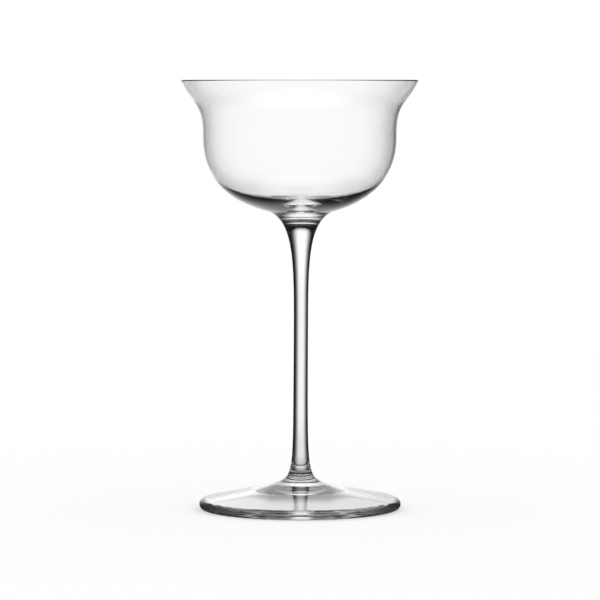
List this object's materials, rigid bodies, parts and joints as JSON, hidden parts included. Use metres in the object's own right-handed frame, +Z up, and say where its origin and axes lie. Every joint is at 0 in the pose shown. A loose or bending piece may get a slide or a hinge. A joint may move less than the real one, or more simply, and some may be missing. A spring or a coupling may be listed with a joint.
{
  "type": "coupe glass",
  "caption": "Stemmed clear-glass coupe: shallow round bowl with a flared lip, slim drawn stem with a flared top, and a low-coned round foot with a hollow underside.",
  "frame": {"origin": "on the glass's axis, in the plane that the foot stands on", "axes": "+Z up along the axis, from the foot to the rim; the glass is round, so X and Y are any two level directions"},
  "size_m": [0.0954, 0.0954, 0.173],
  "materials": {
    "clear_glass": "fire-polished, clear and colourless"
  },
  "bodies": {
    "root": {"bowl": "clear_glass", "stem": "clear_glass", "foot": "clear_glass"}
  },
  "joints": []
}
